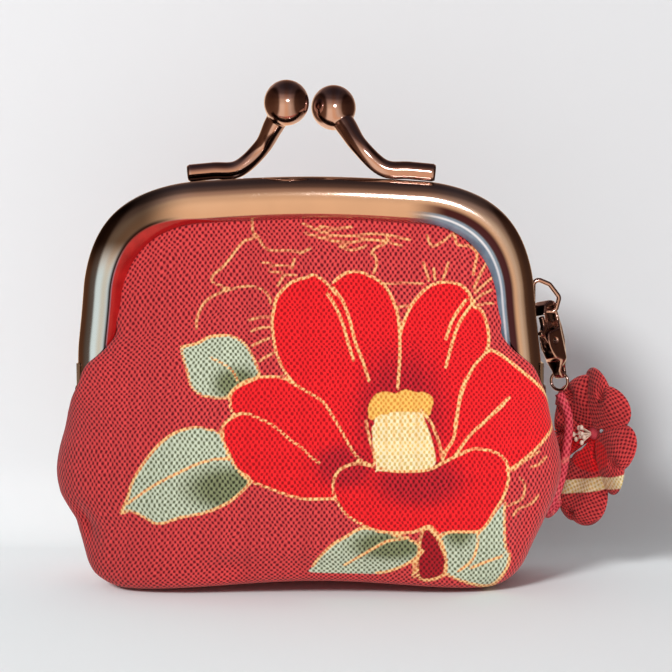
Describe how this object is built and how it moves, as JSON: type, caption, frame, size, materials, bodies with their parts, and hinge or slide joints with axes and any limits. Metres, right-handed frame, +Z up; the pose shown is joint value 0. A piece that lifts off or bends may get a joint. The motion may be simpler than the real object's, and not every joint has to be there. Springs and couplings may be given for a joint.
{
  "type": "clasp purse",
  "caption": "Small kiss-lock coin purse: a rolled metal frame with crossing ball clasps on a printed cotton bag, and a flower charm on a cord clipped to its side loop.",
  "frame": {"origin": "on the floor under the middle of the bag's flat bottom", "axes": "+X to the right along the frame as the front is seen, +Y from the front to the back, +Z up to the ball clasps"},
  "size_m": [0.0924, 0.028, 0.0815],
  "materials": {
    "gunmetal": "polished bronze-grey plating",
    "dark_metal": "polished dark plating",
    "rivet_metal": "plain plated steel",
    "spring_steel": "drawn spring wire",
    "printed_cotton": "plain-weave cotton, printed",
    "lining_cotton": "plain-weave cotton, dyed",
    "paper": "twisted kraft paper",
    "cord_red": "twisted cotton cord",
    "petal_cotton": "plain-weave cotton, stuffed",
    "stamen_pale": "stiffened thread with beaded tips"
  },
  "bodies": {
    "bag": {"outer_bag": "printed_cotton", "lining_bag": "lining_cotton", "left_hinge_rivet": "rivet_metal", "right_hinge_rivet": "rivet_metal"},
    "front": {"front_frame": "gunmetal", "front_ball_clasp": "dark_metal", "outer_front": "printed_cotton", "lining_front": "lining_cotton", "front_paper_cord": "paper"},
    "back": {"back_frame": "gunmetal", "back_ball_clasp": "dark_metal", "outer_back": "printed_cotton", "lining_back": "lining_cotton", "back_paper_cord": "paper", "side_loop": "dark_metal"},
    "clasp": {"clasp_body": "dark_metal", "clasp_pin": "rivet_metal", "clasp_spring": "spring_steel"},
    "lever": {"clasp_lever": "dark_metal"},
    "ring": {"jump_ring": "dark_metal"},
    "charm": {"charm_cord": "cord_red", "petal_1": "petal_cotton", "petal_2": "petal_cotton", "petal_3": "petal_cotton", "petal_4": "petal_cotton", "petal_5": "petal_cotton", "stamens": "stamen_pale"}
  },
  "joints": [
    {"name": "front_hinge", "type": "hinge", "parent": "bag", "child": "front", "pos_m": [0, 0, 0.0312], "axis": [1, 0, 0], "range_deg": [0, 40]},
    {"name": "back_hinge", "type": "hinge", "parent": "bag", "child": "back", "pos_m": [0, 0, 0.0312], "axis": [1, 0, 0], "range_deg": [-40, 0]},
    {"name": "clasp_swing", "type": "hinge", "parent": "back", "child": "clasp", "pos_m": [0.03859, 0.00245, 0.0441], "axis": [1, 0, 0], "range_deg": [0, 40]},
    {"name": "lever_press", "type": "hinge", "parent": "clasp", "child": "lever", "pos_m": [0.0391, 0.00144, 0.03925], "axis": [0.8044, -0.5592, 0.2006], "range_deg": [-16, 0], "stiffness_Nm_per_rad": 0.002, "springref_deg": 5.73},
    {"name": "ring_swing", "type": "hinge", "parent": "clasp", "child": "ring", "pos_m": [0.04104, 0.00245, 0.03408], "axis": [0.829, -0.5592, 0], "range_deg": [0, 40]},
    {"name": "charm_swing", "type": "hinge", "parent": "ring", "child": "charm", "pos_m": [0.04104, 0.00245, 0.03108], "axis": [-0.5592, -0.829, 0], "range_deg": [0, 35]}
  ],
  "couplings": [
    {"joint": "back_hinge", "follows": "front_hinge", "ratio": -1}
  ]
}
